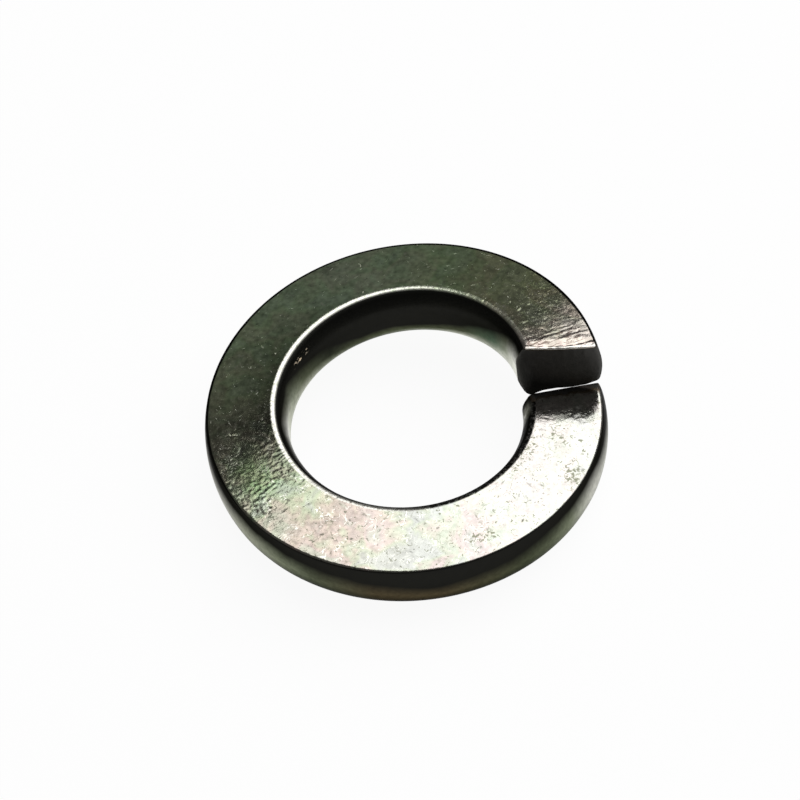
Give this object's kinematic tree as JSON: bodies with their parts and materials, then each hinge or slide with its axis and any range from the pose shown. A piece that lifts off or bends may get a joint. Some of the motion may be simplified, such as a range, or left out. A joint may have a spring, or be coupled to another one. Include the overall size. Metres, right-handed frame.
{
  "type": "spring lock washer",
  "caption": "Split spring lock washer: one turn of keystone wire coiled into a left-hand helix, sheared ends, olive passivated zinc.",
  "frame": {"origin": "on the bore's axis, level with the lowest point of the low end", "axes": "+Z along the bolt towards the nut, +X from the axis towards the gap between the ends, the high end on the +Y side of the gap"},
  "size_m": [0.028, 0.028, 0.0086],
  "materials": {
    "zinc_olive": "zinc plate with a dark olive, faintly iridescent passivation"
  },
  "bodies": {
    "root": {"spring_washer": "zinc_olive"}
  },
  "joints": []
}
